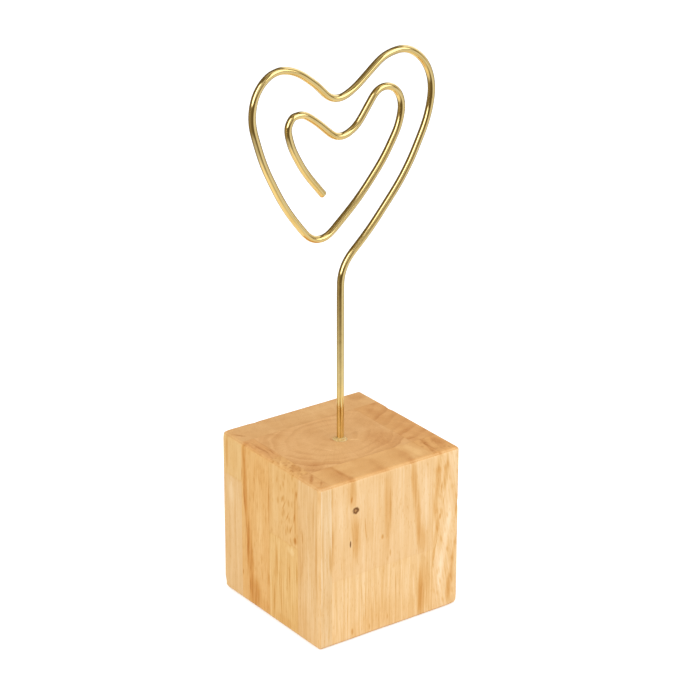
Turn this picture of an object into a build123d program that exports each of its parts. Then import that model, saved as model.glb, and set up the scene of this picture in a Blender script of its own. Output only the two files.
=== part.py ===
from build123d import *
import os

# Table number holder, in millimetres.
# A block of light hardwood, glued up from upright staves, carries a brass wire that is bent into
# a flat heart of two turns. A card slides between the turns and stands above the block.
# Origin: centre of the block's underside. +Z up, -Y to the front, the heart lies in the plane Y = 0.

# ---- block ----
BLOCK_WIDTH = 50.0          # along X
BLOCK_DEPTH = 49.4          # along Y
BLOCK_HEIGHT = 51.2         # along Z
EDGE_RADIUS = 1.2           # sanded rounding on all twelve edges

# ---- staves: three rows from back to front, and three columns from left to right ----
BACK_ROW = 10.2             # one stave across the whole width
FRONT_ROW = 10.7            # the middle row takes the rest of the depth
LEFT_COLUMN = 4.4           # width of the thin staves on the left, planed down to a skin
RIGHT_COLUMN = 9.6          # the middle column takes the rest of the width
LEFT_REAR = 14.2            # depth of the rear one of the two thin staves in the middle row

# ---- hole, wire and glue ----
WIRE_DIAMETER = 2.15
GLUE_GAP = 0.15             # glue between the wire and the wall of the hole, all round
HOLE_DEPTH = 17.0           # blind hole in the middle of the top
COLLAR_SPREAD = 1.2         # how far the dried glue reaches over the wood, beyond the hole
COLLAR_RISE = 0.6           # height of the dried glue where it wets the wire
COLLAR_SWELL = 0.65         # share of that height which is left halfway out

# ---- finger joints that lengthen three of the staves ----
FINGER_LENGTH = 6.0
FINGER_PITCH = 4.0          # aimed at; a whole number of fingers fills the stave
FINGER_TIP = 0.6            # width of the blunt tip
BACK_JOINT_DROP = 12.8      # from the top of the block down to the roots of the fingers
LEFT_JOINT_DROP = 23.0
FRONT_JOINT_DROP = 30.4

# ---- heart ----
STEM_HEIGHT = 53.3          # from the top of the block to the corner of the first bend
HEART_WIDTH = 61.0          # between the outermost centrelines
BENDS_WIDTH = 61.0          # the same width in the list of bends below

# Bends in the order the wire is formed: across and up from the first bend, and the bend's radius.
FIRST_BEND = [(0, 0, 12)]
OUTER_RIGHT = [(10, 9, 84), (23, 24, 60), (30.5, 39, 30), (32, 48, 15), (29.5, 55.5, 13), (22.5, 61, 9)]
OUTER_NOTCH = [(14.5, 59.5, 10), (5, 52, 15), (-2, 48.5, 6), (-8, 55, 26)]
OUTER_LEFT = [(-14.5, 60, 15), (-22, 62, 7.5), (-28, 57, 11), (-30, 49, 16), (-26, 35.5, 60), (-19, 21.5, 66)]
TIP = [(-12.5, 13, 24), (-7.5, 7.5, 6)]
INNER_RIGHT = [(6.5, 19.5, 72), (15, 29.5, 45), (20, 38, 14), (21.5, 44.5, 8), (19, 50, 5.5)]
INNER_NOTCH = [(13, 51, 4.5), (5, 40, 10), (-1, 38, 5), (-7.5, 44, 28)]
INNER_LEFT = [(-13.5, 48.5, 5), (-18.5, 46, 4), (-16.5, 38.5, 17), (-12.5, 31, 42)]
BENDS = FIRST_BEND + OUTER_RIGHT + OUTER_NOTCH + OUTER_LEFT + TIP + INNER_RIGHT + INNER_NOTCH + INNER_LEFT
CUT_END = (-6, 23)

# ---- places that follow from the sizes ----
LEFT = -BLOCK_WIDTH / 2
RIGHT = BLOCK_WIDTH / 2
FRONT = -BLOCK_DEPTH / 2
BACK = BLOCK_DEPTH / 2
MIDDLE_LEFT = LEFT + LEFT_COLUMN
MIDDLE_RIGHT = RIGHT - RIGHT_COLUMN
MIDDLE_FRONT = FRONT + FRONT_ROW
MIDDLE_BACK = BACK - BACK_ROW
LEFT_SEAM = MIDDLE_BACK - LEFT_REAR
HOLE_RADIUS = WIRE_DIAMETER / 2 + GLUE_GAP
HOLE_FLOOR = BLOCK_HEIGHT - HOLE_DEPTH


def whole_block():
    """The block as one lump, rounded and drilled, before it is divided into staves."""
    sawn = Pos(0, 0, BLOCK_HEIGHT / 2) * Box(BLOCK_WIDTH, BLOCK_DEPTH, BLOCK_HEIGHT)
    lump = fillet(sawn.edges(), EDGE_RADIUS)
    hole = Pos(0, 0, HOLE_FLOOR) * extrude(Circle(HOLE_RADIUS), HOLE_DEPTH)
    return lump - hole


def stave_region(left, right, front, back):
    """Full-height column between two planes that face X and two that face Y."""
    middle = Pos((left + right) / 2, (front + back) / 2, BLOCK_HEIGHT / 2)
    return middle * Box(right - left, back - front, BLOCK_HEIGHT)


def finger_line(start, end, roots):
    """Zigzag of blunt fingers across a stave, as (across, up) points from edge to edge."""
    count = max(1, round((end - start) / FINGER_PITCH))
    pitch = (end - start) / count
    tips = roots + FINGER_LENGTH
    line = [(start, roots)]
    for finger in range(count):
        left = start + finger * pitch
        line += [
            (left + FINGER_TIP / 2, roots),
            (left + pitch / 2 - FINGER_TIP / 2, tips),
            (left + pitch / 2 + FINGER_TIP / 2, tips),
            (left + pitch - FINGER_TIP / 2, roots),
        ]
    return line + [(end, roots)]


def finger_joint(stave, plane, start, end, drop):
    """Divides a stave into (upper, lower) along fingers that run from start to end in the plane."""
    line = finger_line(start, end, BLOCK_HEIGHT - drop)
    outline = [(start, 0), *line, (end, 0)]
    below = extrude(plane * Polygon(*outline, align=None), max(BLOCK_WIDTH, BLOCK_DEPTH), both=True)
    return stave - below, stave & below


def wire_path():
    """Centreline of the wire: foot, stem and heart, as straight runs joined by tangent arcs."""
    scale = HEART_WIDTH / BENDS_WIDTH
    heart_foot = BLOCK_HEIGHT + STEM_HEIGHT
    corners = [(across * scale, 0, heart_foot + up * scale) for across, up, radius in BENDS]
    cut_end = (CUT_END[0] * scale, 0, heart_foot + CUT_END[1] * scale)
    radii = [radius * scale for across, up, radius in BENDS]
    return FilletPolyline((0, 0, HOLE_FLOOR), *corners, cut_end, radius=radii)


def heart_wire():
    """One length of round wire, standing on the floor of the hole."""
    return sweep(Pos(0, 0, HOLE_FLOOR) * Circle(WIRE_DIAMETER / 2), wire_path())


def glue_bead():
    """Glue that fills the hole round the wire, with a low rounded collar on the wood."""
    wire = WIRE_DIAMETER / 2
    collar = HOLE_RADIUS + COLLAR_SPREAD
    rim = (collar, 0, BLOCK_HEIGHT)
    crest = (wire, 0, BLOCK_HEIGHT + COLLAR_RISE)
    halfway = ((wire + collar) / 2, 0, BLOCK_HEIGHT + COLLAR_RISE * COLLAR_SWELL)
    mouth = (HOLE_RADIUS, 0, BLOCK_HEIGHT)
    bottom = (HOLE_RADIUS, 0, HOLE_FLOOR)
    foot = (wire, 0, HOLE_FLOOR)
    section = Polyline(rim, mouth, bottom, foot, crest) + ThreePointArc(crest, halfway, rim)
    return revolve(make_face(section), Axis.Z)


def staves():
    """The block divided into its staves, by node name."""
    block = whole_block()
    back = block & stave_region(LEFT, RIGHT, MIDDLE_BACK, BACK)
    left_front = block & stave_region(LEFT, MIDDLE_LEFT, MIDDLE_FRONT, LEFT_SEAM)
    front = block & stave_region(MIDDLE_LEFT, MIDDLE_RIGHT, FRONT, MIDDLE_FRONT)
    back_lengths = finger_joint(back, Plane.XZ, LEFT, RIGHT, BACK_JOINT_DROP)
    left_lengths = finger_joint(left_front, Plane.XZ, LEFT, MIDDLE_LEFT, LEFT_JOINT_DROP)
    front_lengths = finger_joint(front, Plane.YZ, FRONT, MIDDLE_FRONT, FRONT_JOINT_DROP)
    return {
        "back_stave_upper": back_lengths[0],
        "back_stave_lower": back_lengths[1],
        "left_stave_rear": block & stave_region(LEFT, MIDDLE_LEFT, LEFT_SEAM, MIDDLE_BACK),
        "left_stave_front_upper": left_lengths[0],
        "left_stave_front_lower": left_lengths[1],
        "core_stave": block & stave_region(MIDDLE_LEFT, MIDDLE_RIGHT, MIDDLE_FRONT, MIDDLE_BACK),
        "right_stave": block & stave_region(MIDDLE_RIGHT, RIGHT, MIDDLE_FRONT, MIDDLE_BACK),
        "corner_stave_left": block & stave_region(LEFT, MIDDLE_LEFT, FRONT, MIDDLE_FRONT),
        "front_stave_upper": front_lengths[0],
        "front_stave_lower": front_lengths[1],
        "corner_stave_right": block & stave_region(MIDDLE_RIGHT, RIGHT, FRONT, MIDDLE_FRONT),
    }


parts = staves()
parts["heart_wire"] = heart_wire()
parts["glue_bead"] = glue_bead()

os.makedirs("parts", exist_ok=True)
for name, solid in parts.items():
    solid.label = name
    export_step(solid, f"parts/{name}.step")
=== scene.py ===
"""Looks of the table number holder: a block of glued hardwood staves, a brass wire bent into a heart, and
the glue round its foot. Lengths are in metres; the wood's marks and the wire's bends are in millimetres."""
import math

import bmesh
import bpy
from mathutils import Matrix, Vector, noise


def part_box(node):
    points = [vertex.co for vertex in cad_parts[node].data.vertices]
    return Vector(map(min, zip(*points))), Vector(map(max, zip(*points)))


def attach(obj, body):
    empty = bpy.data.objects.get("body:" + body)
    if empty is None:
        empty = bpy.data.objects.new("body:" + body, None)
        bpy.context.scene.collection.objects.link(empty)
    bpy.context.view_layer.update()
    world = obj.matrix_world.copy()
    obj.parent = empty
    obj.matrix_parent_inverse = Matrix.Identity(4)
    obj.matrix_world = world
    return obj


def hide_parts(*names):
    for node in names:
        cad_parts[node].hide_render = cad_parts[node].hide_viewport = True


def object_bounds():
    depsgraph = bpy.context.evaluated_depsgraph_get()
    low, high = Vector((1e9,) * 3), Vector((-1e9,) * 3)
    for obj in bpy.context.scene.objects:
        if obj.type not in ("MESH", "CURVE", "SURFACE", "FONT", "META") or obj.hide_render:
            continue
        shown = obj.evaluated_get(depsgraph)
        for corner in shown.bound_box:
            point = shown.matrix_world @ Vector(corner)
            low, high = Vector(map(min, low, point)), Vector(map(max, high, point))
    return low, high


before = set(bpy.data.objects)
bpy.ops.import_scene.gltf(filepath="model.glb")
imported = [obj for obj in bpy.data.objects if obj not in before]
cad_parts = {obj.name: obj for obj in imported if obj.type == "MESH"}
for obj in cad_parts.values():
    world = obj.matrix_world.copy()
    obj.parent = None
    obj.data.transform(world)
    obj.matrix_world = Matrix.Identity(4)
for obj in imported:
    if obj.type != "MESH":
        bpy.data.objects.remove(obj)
cad_low, cad_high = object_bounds()

MM = 0.001
PER_METRE = 1000

# ---- the block's planes, read from the frame ----
core_low, core_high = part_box("core_stave")
rear_low, rear_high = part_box("back_stave_lower")
fore_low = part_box("front_stave_lower")[0]
TOP = core_high.z
BLOCK_LOW = Vector((rear_low.x, fore_low.y, core_low.z))
BLOCK_HIGH = Vector((rear_high.x, rear_high.y, TOP))
EDGE_RADIUS = 1.2 * MM

# ---- the same planes for the shaders, in millimetres ----
LEFT_MM = BLOCK_LOW.x * PER_METRE
RIGHT_MM = BLOCK_HIGH.x * PER_METRE
FRONT_MM = BLOCK_LOW.y * PER_METRE
BACK_MM = BLOCK_HIGH.y * PER_METRE
TOP_MM = TOP * PER_METRE

# ---- finger joints, in millimetres, as the CAD model has them ----
FINGER_LENGTH = 6.0
FINGER_PITCH = 4.0
FINGER_TIP = 0.6

# ---- knot on the front face ----
KNOT = Vector((-12.3, FRONT_MM, 41.3))
KNOT_RADIUS = 0.95


def smoothstep(low, high, value):
    share = min(1.0, max(0.0, (value - low) / (high - low)))
    return share * share * (3 - 2 * share)


# ======================= node graphs =======================

class Graph:
    """Nodes of a new material or of the world, with short calls. A value is a socket, number or tuple."""

    def __init__(self, owner):
        self.owner = owner
        owner.use_nodes = True
        self.tree = owner.node_tree
        self.tree.nodes.clear()

    def node(self, kind, settings=None, **inputs):
        made = self.tree.nodes.new(kind)
        for key, value in (settings or {}).items():
            setattr(made, key, value)
        for key, value in inputs.items():
            self.feed(made.inputs[key.replace("_", " ")], value)
        return made

    def feed(self, socket, value):
        if isinstance(value, bpy.types.NodeSocket):
            self.tree.links.new(value, socket)
        else:
            socket.default_value = value

    def math(self, operation, *values, clamp=False):
        made = self.node("ShaderNodeMath", {"operation": operation, "use_clamp": clamp})
        for place, value in enumerate(values):
            self.feed(made.inputs[place], value)
        return made.outputs[0]

    def times(self, first, second):
        return self.math("MULTIPLY", first, second)

    def apart(self, first, second):
        return self.math("ABSOLUTE", self.math("SUBTRACT", first, second))

    def vector(self, operation, *values):
        made = self.node("ShaderNodeVectorMath", {"operation": operation})
        for place, value in enumerate(values):
            self.feed(made.inputs[place], value)
        return made.outputs["Value" if operation == "LENGTH" else "Vector"]

    def scaled(self, vector, factor):
        made = self.node("ShaderNodeVectorMath", {"operation": "SCALE"})
        self.feed(made.inputs[0], vector)
        self.feed(made.inputs["Scale"], factor)
        return made.outputs["Vector"]

    def split(self, vector):
        return tuple(self.node("ShaderNodeSeparateXYZ", Vector=vector).outputs)

    def join(self, x, y, z):
        return self.node("ShaderNodeCombineXYZ", X=x, Y=y, Z=z).outputs[0]

    def turn(self, vector, axis, angle):
        settings = {"rotation_type": axis + "_AXIS"}
        return self.node("ShaderNodeVectorRotate", settings, Vector=vector, Angle=angle).outputs[0]

    def noise(self, vector, scale=1.0, detail=2.0, roughness=0.5):
        made = self.node("ShaderNodeTexNoise", {"noise_dimensions": "3D"}, Vector=vector, Scale=scale,
                         Detail=detail, Roughness=roughness)
        return made.outputs[0]

    def swing(self, vector, scale=1.0, detail=2.0):
        """Noise about zero, from about -1 to 1."""
        return self.math("MULTIPLY_ADD", self.noise(vector, scale, detail), 4.0, -2.0)

    def step(self, value, start, end, low=0.0, high=1.0):
        """Smooth change from low at start to high at end."""
        made = self.node("ShaderNodeMapRange", {"interpolation_type": "SMOOTHSTEP"}, Value=value)
        for key, number in (("From Min", start), ("From Max", end), ("To Min", low), ("To Max", high)):
            self.feed(made.inputs[key], number)
        return made.outputs[0]

    def total(self, values):
        values = list(values)
        whole = values[0]
        for value in values[1:]:
            whole = self.math("ADD", whole, value)
        return whole

    def blend(self, share, first, second):
        made = self.node("ShaderNodeMix", {"data_type": "RGBA"})
        self.feed(made.inputs["Factor"], share)
        self.feed(made.inputs[6], first)
        self.feed(made.inputs[7], second)
        return made.outputs[2]

    def bump(self, height, strength, distance):
        return self.node("ShaderNodeBump", Height=height, Strength=strength, Distance=distance).outputs[0]

    def mix(self, share, first, second):
        """Shader that is first where share is 0 and second where it is 1."""
        made = self.node("ShaderNodeMixShader")
        for place, value in enumerate((share, first.outputs[0], second.outputs[0])):
            self.feed(made.inputs[place], value)
        return made

    def finish(self, shader, output="ShaderNodeOutputMaterial"):
        self.feed(self.node(output).inputs["Surface"], shader.outputs[0])
        return self.owner


def linear(red, green, blue):
    """An sRGB colour, 0 to 255, as the linear RGBA that a shader takes."""
    shares = [channel / 255 for channel in (red, green, blue)]
    return tuple(s / 12.92 if s <= 0.04045 else ((s + 0.055) / 1.055) ** 2.4 for s in shares) + (1.0,)


# ======================= wood =======================

# How strongly one unit of shade takes away red, green and blue, on side grain and on end grain.
SIDE_STAIN = (-0.22, -0.48, -1.0)
END_STAIN = (-0.34, -0.64, -1.0)
MARK_STRENGTH = 1.9
MARK_CORE = 0.25            # share of a mark's size within which it has its full shade
FRONT_MARK_DEPTH = 5.0
MARK_DEPTH = 3.0
DARK_BROWN = linear(112, 70, 30)
KNOT_BROWN = linear(164, 112, 54)

# Cycles per millimetre of the wood's patterns: twice across the grain, and along it.
DRIFT_SCALE = (0.16, 0.16, 0.035)
RING_WANDER_SCALE = (0.11, 0.11, 0.02)
RING_FADE_SCALE = (0.10, 0.10, 0.02)
BROAD_SCALE = (0.34, 0.34, 0.010)
FINE_SCALE = (2.0, 2.0, 0.04)
HAIR_SCALE = (5.5, 5.5, 0.12)
CLOUD_SCALE = (0.22, 0.22, 0.12)
PORE_SCALE = (4.2, 4.2, 0.42)
FLECK_SCALE = (0.72, 0.72, 0.30)
SEAM_SCALE = (0.3, 0.3, 0.06)

DRIFT = 1.8                 # millimetres between the furthest places that the grain wanders to
SEED_SPREAD = (7.3, 3.1, 5.7)
HAIR_SHADE = 0.07
BROAD_ON_ENDS = 0.3         # share of the broad streaks that is left on end grain
FINE_ON_ENDS = 0.25
RAYS_ROUND = 34.0           # how fast the rays change round the pith, and outwards from it
RAYS_OUT = 0.09
FOOT_SHARE = 0.45           # the foot's shade begins at this share of the height
SEAM_WIDTH = 0.24
JOINT_WIDTH = 0.16
GRAIN_BUMP = 0.00006


def on_front(across, down, width, length, shade, lean=0.0):
    """A mark on the front face: millimetres from the left edge and down from the top; lean in degrees."""
    centre = (LEFT_MM + across, FRONT_MM, TOP_MM - down)
    return centre, (width / 2, FRONT_MARK_DEPTH, length / 2), shade, "Y", math.radians(lean)


def on_left(across, down, width, length, shade, lean=0.0):
    """A mark on the left face: millimetres from the back edge and down from the top; lean in degrees."""
    centre = (LEFT_MM, BACK_MM - across, TOP_MM - down)
    return centre, (MARK_DEPTH, width / 2, length / 2), shade, "X", math.radians(lean)


def on_top(across, back, width, length, shade, turn=0.0):
    """A mark on the top face: millimetres from the left and back edges; turn in degrees."""
    centre = (LEFT_MM + across, BACK_MM - back, TOP_MM)
    return centre, (width / 2, length / 2, MARK_DEPTH), shade, "Z", math.radians(turn)


def mark(g, place, centre, size, shade, axis, angle):
    """Soft-edged patch of shade."""
    offset = g.vector("SUBTRACT", place, centre)
    if angle:
        offset = g.turn(offset, axis, angle)
    reach = g.vector("LENGTH", g.vector("MULTIPLY", offset, tuple(1 / s for s in size)))
    return g.step(reach, 1.0, MARK_CORE, 0.0, shade * MARK_STRENGTH)


def growth_rings(g, grain, pith, stretch, spacing, wander):
    """(darkness of the latewood, radius, angle) of growth rings round a pith."""
    x, y, _ = g.split(grain)
    across = g.math("DIVIDE", g.math("SUBTRACT", x, pith[0]), stretch)
    along = g.math("SUBTRACT", y, pith[1])
    squares = g.math("ADD", g.times(across, across), g.times(along, along))
    slow = g.swing(g.vector("MULTIPLY", grain, RING_WANDER_SCALE), detail=3)
    radius = g.math("MULTIPLY_ADD", slow, wander, g.math("SQRT", squares))
    phase = g.math("DIVIDE", radius, spacing)
    share = g.math("FRACT", phase)
    late = g.times(g.step(share, 0.35, 0.85), g.step(share, 1.0, 0.88))
    uneven = g.noise(g.join(g.math("FLOOR", phase), 0.5, 0.5), 3.7, 0)
    patchy = g.noise(g.vector("MULTIPLY", grain, RING_FADE_SCALE), 1.0, 1.0)
    strength = g.times(g.step(patchy, 0.40, 0.60, 0.3, 1.0), g.step(uneven, 0.3, 0.62, 0.5, 1.0))
    return g.times(late, strength), radius, g.math("ARCTAN2", along, across)


def bold_ring(g, late, radius, bold):
    """The latewood with one clear ring at a radius, and fainter rings inside it."""
    line = g.step(g.apart(radius, bold), 1.0, 0.2, 0.0, 0.45)
    inner = g.step(radius, bold * 0.2, bold * 0.8, 0.3, 1.0)
    return g.math("ADD", g.times(late, inner), line)


def finger_line(g, across, up, start, end, roots, strength):
    """Thin dark line along a zigzag finger joint."""
    count = max(1, round((end - start) / FINGER_PITCH))
    half = (end - start) / count / 2
    run = half - FINGER_TIP
    ramp = g.math("PINGPONG", g.math("SUBTRACT", across, start), half)
    climb = g.math("DIVIDE", g.math("SUBTRACT", ramp, FINGER_TIP / 2), run, clamp=True)
    line = g.math("MULTIPLY_ADD", climb, FINGER_LENGTH, roots)
    slant = run / math.hypot(run, FINGER_LENGTH)
    gap = g.times(g.apart(up, line), slant)
    return g.step(gap, JOINT_WIDTH, 0.03, 0.0, strength)


def fleck_dashes(g, shifted, y, edge):
    """Short dark dashes. edge gives where along y they grow from few to many; without it they are even."""
    cells = g.node("ShaderNodeTexVoronoi", {"distance": "EUCLIDEAN"}, Scale=1.0, Randomness=1.0,
                   Vector=g.vector("MULTIPLY", shifted, FLECK_SCALE))
    chosen = g.split(cells.outputs["Color"])[0]
    bar = g.step(y, edge[0], edge[1], 0.35, 0.9) if edge else 0.55
    dash = g.step(cells.outputs["Distance"], 0.50, 0.08)
    return g.times(dash, g.math("LESS_THAN", chosen, bar))


def is_seam(plane):
    """Whether a stave's side lies inside the block, away from its outer faces."""
    outer = (BLOCK_LOW.x, BLOCK_HIGH.x, BLOCK_LOW.y, BLOCK_HIGH.y)
    return min(abs(plane - face) for face in outer) > EDGE_RADIUS


def seam_lines(g, place, node, strength):
    """Uneven dark lines where the stave is glued to its neighbours."""
    x, y, _ = g.split(place)
    uneven = g.step(g.noise(g.vector("MULTIPLY", place, SEAM_SCALE), 1.0, 2), 0.35, 0.65, 0.3, 1.0)
    low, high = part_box(node)
    lines = []
    for across, planes in ((x, (low.x, high.x)), (y, (low.y, high.y))):
        for plane in filter(is_seam, planes):
            gap = g.apart(across, plane * PER_METRE)
            lines.append(g.times(g.step(gap, SEAM_WIDTH, 0.02, 0.0, strength), uneven))
    return lines


def wandering_grain(g, place, seed, lean, knot):
    """(place in the grain, place that marks are drawn at): it wanders, leans and flows round the knot."""
    slow = g.vector("MULTIPLY", g.vector("ADD", place, (seed, seed * 2, seed * 3)), DRIFT_SCALE)
    drift = g.node("ShaderNodeTexNoise", Vector=slow, Scale=1.0, Detail=2.0).outputs[1]
    drift = g.scaled(g.vector("SUBTRACT", drift, (0.5, 0.5, 0.5)), DRIFT)
    marked = g.vector("ADD", place, drift)
    below = g.math("SUBTRACT", g.split(place)[2], TOP_MM)
    tilt = g.join(g.times(below, -lean[0]), g.times(below, -lean[1]), 0.0)
    grain = g.vector("ADD", marked, tilt)
    if knot:
        away = g.vector("SUBTRACT", place, tuple(KNOT))
        near = g.step(g.vector("LENGTH", g.vector("MULTIPLY", away, (1.0, 0.4, 0.45))), 4.0, 0.0)
        grain = g.vector("SUBTRACT", grain, g.scaled(g.vector("MULTIPLY", away, (0.55, 0.0, 0.0)), near))
    return grain, marked


def knot_shades(g, place):
    """(how much of the knot's brown, how much of its darker ring)."""
    away = g.vector("MULTIPLY", g.vector("SUBTRACT", place, tuple(KNOT)), (1.0, 0.4, 1.0))
    ragged = g.math("MULTIPLY_ADD", g.swing(place, 1.4, 3), 0.22, g.vector("LENGTH", away))
    ring = g.apart(ragged, KNOT_RADIUS * 0.72)
    brown = g.times(g.step(ragged, KNOT_RADIUS * 1.45, KNOT_RADIUS * 0.9), 0.75)
    return brown, g.step(ring, KNOT_RADIUS * 0.42, KNOT_RADIUS * 0.12, 0.0, 0.90)


def stained(g, tone, on_side, end_grain, shade):
    """The tone, darkened by the shade: blue is taken away first, then green, then red."""
    stain = g.vector("ADD", g.scaled(SIDE_STAIN, on_side), g.scaled(END_STAIN, end_grain))
    veil = [g.math("EXPONENT", channel) for channel in g.split(g.scaled(stain, shade))]
    return g.vector("MULTIPLY", tone, g.join(*veil))


def wood(name, side, end, shaded_flank=None, pith=(-2.2, 2.4), stretch=1.0, spacing=3.3, wander=0.5, ring_side=0.12,
         ring_end=0.22, lean=(0.0, 0.0), broad=0.16, fine=0.20, pores=0.30, flecks=0.0, fleck_edge=None,
         mottle=0.10, rays=0.10, bold=None, foot=0.0, seed=0.0, marks=(), cracks=(), joint=None,
         knot=False, seam=0.20):
    """Hardwood of one stave. side and end are its colours on the faces that show side grain and end grain;
    the flank colour, where given, is the side grain to the left and right, made darker there as painted
    shade."""
    g = Graph(bpy.data.materials.new(name))
    coordinates = g.node("ShaderNodeTexCoord")
    place = g.scaled(coordinates.outputs["Object"], PER_METRE)
    x, y, z = g.split(place)
    facing_x, _, facing_z = g.split(coordinates.outputs["Normal"])
    end_grain = g.step(g.math("ABSOLUTE", facing_z), 0.45, 0.85)
    on_side = g.math("SUBTRACT", 1.0, end_grain)
    grain, marked = wandering_grain(g, place, seed, lean, knot)
    shifted = g.vector("ADD", grain, tuple(seed * spread for spread in SEED_SPREAD))

    late, radius, angle = growth_rings(g, grain, pith, stretch, spacing, wander)
    if bold:
        late = bold_ring(g, late, radius, bold)
    streak_broad = g.swing(g.vector("MULTIPLY", shifted, BROAD_SCALE), detail=3)
    streak_fine = g.swing(g.vector("MULTIPLY", shifted, FINE_SCALE), detail=4)
    hair = g.swing(g.vector("MULTIPLY", shifted, HAIR_SCALE), detail=2)
    clouds = g.swing(g.vector("MULTIPLY", shifted, CLOUD_SCALE), detail=4)
    pore = g.step(g.noise(g.vector("MULTIPLY", shifted, PORE_SCALE), 1.0, 1.0), 0.60, 0.72)
    fan = g.join(g.times(angle, RAYS_ROUND), g.times(radius, RAYS_OUT), seed)
    ray = g.swing(fan, 1.0, 2.0)
    wear = g.node("ShaderNodeAttribute", {"attribute_name": "edge"}).outputs["Fac"]

    shade = [
        g.times(streak_broad, g.math("MULTIPLY_ADD", on_side, broad, broad * BROAD_ON_ENDS)),
        g.times(streak_fine, g.math("MULTIPLY_ADD", on_side, fine, fine * FINE_ON_ENDS)),
        g.times(hair, HAIR_SHADE),
        g.times(clouds, mottle),
        g.times(pore, pores),
        g.times(late, g.math("MULTIPLY_ADD", end_grain, ring_end - ring_side, ring_side)),
        g.times(g.times(ray, end_grain), rays),
        g.times(g.step(z, TOP_MM * FOOT_SHARE, 0.0), foot),
        g.times(wear, g.math("MULTIPLY_ADD", clouds, 0.05, 0.03)),
    ]
    if marks:
        patches = g.total(mark(g, marked, *facts) for facts in marks)
        shade.append(g.times(patches, g.math("MULTIPLY_ADD", streak_fine, 0.45, 1.0)))
    if flecks:
        shade.append(g.times(fleck_dashes(g, shifted, y, fleck_edge), flecks))
    shade += seam_lines(g, place, frame_node(name), seam)
    if joint:
        axis, start, finish, roots, strength = joint
        shade.append(finger_line(g, x if axis == "X" else y, z, start, finish, roots, strength))

    # The left and right faces take the darker flank colour: painted shade of how the light falls on them.
    if shaded_flank:
        side = g.blend(g.step(g.math("ABSOLUTE", facing_x), 0.4, 0.8), side, shaded_flank)
    colour = stained(g, g.blend(end_grain, side, end), on_side, end_grain, g.total(shade))
    dark = [mark(g, marked, *facts) for facts in cracks]
    if knot:
        brown, ring = knot_shades(g, place)
        dark.append(ring)
        colour = g.blend(brown, colour, KNOT_BROWN)
    if dark:
        colour = g.blend(g.math("MINIMUM", g.total(dark), 0.95), colour, DARK_BROWN)

    fibres = g.total([g.times(hair, 0.35), g.times(streak_fine, 0.3),
                      g.times(pore, -1.6), g.times(late, 0.4)])
    roughness = g.total([g.math("MULTIPLY_ADD", clouds, 0.04, 0.56), g.times(late, -0.05),
                         g.times(pore, 0.15), g.times(wear, -0.08)])
    shader = g.node("ShaderNodeBsdfPrincipled", Base_Color=colour, Roughness=roughness,
                    Normal=g.bump(fibres, 0.35, GRAIN_BUMP))
    shader.inputs["Specular IOR Level"].default_value = 0.28
    return g.finish(shader)


def frame_node(material_name):
    """The CAD node that a wood material is for: the material is named wood_NODE."""
    return material_name.replace("wood_", "", 1)


def block_joint(node, axis, strength):
    """(axis, start, end, height of the fingers' roots, strength of its line) for a lengthened stave."""
    low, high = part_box(node.replace("lower", "upper"))
    span = (low.x, high.x) if axis == "X" else (low.y, high.y)
    return axis, span[0] * PER_METRE, span[1] * PER_METRE, low.z * PER_METRE, strength


BACK_UPPER_MARKS = [
    on_left(2.9, 6, 2.4, 16, 0.24),
    on_left(7.4, 6, 3.0, 12, 0.10),
    on_top(25, 0.6, 50, 2.2, 0.22),
    on_top(2.5, 6.3, 1.2, 5.2, 0.36, -34),
    on_top(30, 5, 26, 6, -0.06),
    on_top(46, 3.5, 8, 7, 0.14),
]
BACK_LOWER_MARKS = [
    on_left(3.4, 28, 1.6, 30, 0.10),
    on_left(6.6, 33, 1.2, 34, 0.08),
    on_left(5.0, 18, 5.0, 14, -0.10),
]
LEFT_REAR_MARKS = [
    on_left(10.5, 10, 0.6, 6, 0.60),
    on_left(11.4, 18, 0.8, 12, 0.50, 5.0),
    on_left(12.6, 27, 0.8, 12, 0.50, 5.0),
    on_left(13.0, 33, 0.6, 8, 0.50, -1.0),
    on_left(14.2, 45, 0.7, 8, 0.50, 1.0),
    on_left(12.0, 14, 3.0, 32, 0.36, 4.0),
    on_left(14.2, 34, 4.6, 32, 0.44, 4.5),
    on_left(17.0, 47, 9.0, 16, 0.44),
    on_left(22.0, 49, 5.0, 8, 0.20),
    on_left(11.6, 3, 2.4, 12, 0.26),
    on_left(20.6, 34, 0.6, 5, 0.60, 1.0),
    on_left(20.9, 39, 0.5, 6, 0.30, 1.0),
    on_left(16.8, 9.5, 0.5, 3.5, 0.44, 3.0),
    on_left(16.5, 15, 0.5, 6, 0.44, -2.0),
    on_left(20.0, 9, 0.5, 3, 0.40),
    on_left(21.0, 10, 0.5, 5, 0.34, 2.0),
    on_left(21.6, 25, 0.5, 6, 0.30, 3.0),
    on_left(22.8, 19, 0.5, 8, 0.28, 2.0),
    on_left(19.2, 6, 8.0, 10, 0.12),
    on_left(19.6, 22, 4.5, 12, -0.12),
    on_left(10.6, 42, 0.7, 2.6, 0.60),
    on_left(24.2, 14, 0.7, 24, 0.45),
    on_left(24.0, 39, 1.6, 6, 0.24),
    on_top(2.2, 17, 1.0, 13, 0.24),
    on_top(3.6, 20, 0.8, 9, 0.20),
]
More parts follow.
